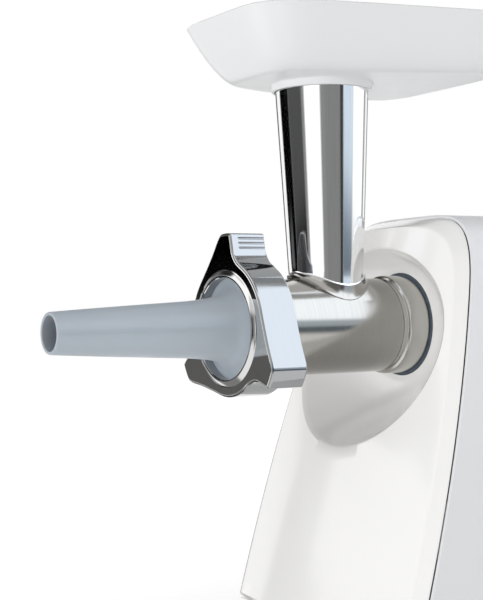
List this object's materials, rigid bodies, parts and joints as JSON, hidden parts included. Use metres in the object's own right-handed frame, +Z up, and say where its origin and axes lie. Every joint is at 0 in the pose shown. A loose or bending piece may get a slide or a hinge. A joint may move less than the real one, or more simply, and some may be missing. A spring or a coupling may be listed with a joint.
{
  "type": "electric meat grinder",
  "caption": "Electric meat grinder with a sausage filling nozzle: motor and gear train in a white housing, auger in a metal barrel, feed tube, tray and pusher.",
  "frame": {"origin": "Centre of the bounding box's underside: on the surface the feet stand on, midway between the nozzle's tip and the back of the cord gland.", "axes": "+Z up. The nozzle and ring nut face -Y, along the drive axis. +X is the side with the power and reverse buttons."},
  "size_m": [0.1616, 0.3326, 0.3131],
  "materials": {
    "gloss_white_shell": "moulded, polished warm white",
    "grey_white_shell": "moulded, fine matt texture",
    "satin_white": "moulded, satin white",
    "nozzle_plastic": "moulded, satin blue-grey",
    "polished_metal": "polished",
    "satin_metal": "satin brushed",
    "cutting_steel": "ground",
    "machine_steel": "turned and punched",
    "bearing_brass": "turned",
    "winding_copper": "enamelled wire and copper bars",
    "gear_plastic": "moulded acetal",
    "dark_plastic": "moulded, dark grey",
    "dark_rubber": "moulded"
  },
  "bodies": {
    "base": {"front_shell": "gloss_white_shell", "rear_shell": "grey_white_shell", "base_plate": "dark_plastic", "foot_1": "dark_rubber", "foot_2": "dark_rubber", "foot_3": "dark_rubber", "foot_4": "dark_rubber", "base_screw_1": "machine_steel", "base_screw_2": "machine_steel", "base_screw_3": "machine_steel", "base_screw_4": "machine_steel", "seal_ring": "dark_rubber", "socket_ring": "dark_plastic", "gear_case": "dark_plastic", "gear_cover": "dark_plastic", "output_bush": "bearing_brass", "layshaft_pin": "machine_steel", "stator_core": "machine_steel", "field_coil_upper": "winding_copper", "field_coil_lower": "winding_copper", "motor_bracket": "machine_steel", "rotor_bush_front": "bearing_brass", "rotor_bush_rear": "bearing_brass", "brush_holder_left": "bearing_brass", "brush_holder_right": "bearing_brass", "carbon_brush_left": "dark_plastic", "carbon_brush_right": "dark_plastic", "control_panel": "dark_plastic", "power_switch": "dark_plastic", "reverse_switch": "dark_plastic", "suppression_capacitor": "dark_plastic", "cord_gland": "dark_rubber"},
    "drive": {"output_shaft": "machine_steel", "output_gear": "gear_plastic", "auger": "satin_metal", "knife": "cutting_steel"},
    "layshaft": {"layshaft_gear": "gear_plastic", "layshaft_pinion": "machine_steel"},
    "rotor": {"rotor_shaft": "machine_steel", "rotor_core": "machine_steel", "commutator": "winding_copper", "cooling_fan": "dark_plastic", "motor_pinion": "bearing_brass"},
    "head": {"grinder_barrel": "satin_metal", "feed_tube": "polished_metal", "perforated_disc": "cutting_steel"},
    "nozzle": {"sausage_nozzle": "nozzle_plastic"},
    "ring": {"ring_nut": "polished_metal"},
    "tray": {"feed_tray": "satin_white"},
    "pusher": {"pusher": "satin_white"},
    "power_button": {"power_button": "satin_white"},
    "reverse_button": {"reverse_button": "satin_white"},
    "release": {"release_button": "gloss_white_shell", "latch_lever": "machine_steel"}
  },
  "joints": [
    {"name": "auger_spin", "type": "hinge", "parent": "base", "child": "drive", "pos_m": [0, -0.01125, 0.157], "axis": [0, 1, 0], "continuous": true},
    {"name": "layshaft_spin", "type": "hinge", "parent": "base", "child": "layshaft", "pos_m": [0, 0.07875, 0.1045], "axis": [0, 1, 0], "continuous": true},
    {"name": "rotor_spin", "type": "hinge", "parent": "base", "child": "rotor", "pos_m": [0, 0.12075, 0.0733], "axis": [0, 1, 0], "continuous": true},
    {"name": "head_turn", "type": "hinge", "parent": "base", "child": "head", "pos_m": [0, 0.04675, 0.157], "axis": [0, -1, 0], "range_deg": [0, 45]},
    {"name": "nozzle_slide", "type": "slide", "parent": "head", "child": "nozzle", "axis": [0, -1, 0], "range_m": [0, 0.0091]},
    {"name": "ring_turn", "type": "hinge", "parent": "nozzle", "child": "ring", "pos_m": [0, -0.06125, 0.157], "axis": [0, -1, 0], "range_deg": [0, 1080]},
    {"name": "tray_lift", "type": "slide", "parent": "head", "child": "tray", "axis": [0, 0, 1], "range_m": [0, 0.05]},
    {"name": "pusher_slide", "type": "slide", "parent": "tray", "child": "pusher", "axis": [0, 0, 1], "range_m": [0, 0.13]},
    {"name": "power_press", "type": "slide", "parent": "base", "child": "power_button", "axis": [-1, 0, 0], "range_m": [0, 0.003], "stiffness_N_per_m": 300},
    {"name": "reverse_press", "type": "slide", "parent": "base", "child": "reverse_button", "axis": [-1, 0, 0], "range_m": [0, 0.003], "stiffness_N_per_m": 300},
    {"name": "release_press", "type": "slide", "parent": "base", "child": "release", "axis": [0, 1, 0], "range_m": [0, 0.003], "stiffness_N_per_m": 400}
  ],
  "couplings": [
    {"joint": "layshaft_spin", "follows": "auger_spin", "ratio": -6},
    {"joint": "rotor_spin", "follows": "auger_spin", "ratio": 33},
    {"joint": "nozzle_slide", "follows": "ring_turn", "m_per_rad": 0.00047746}
  ]
}
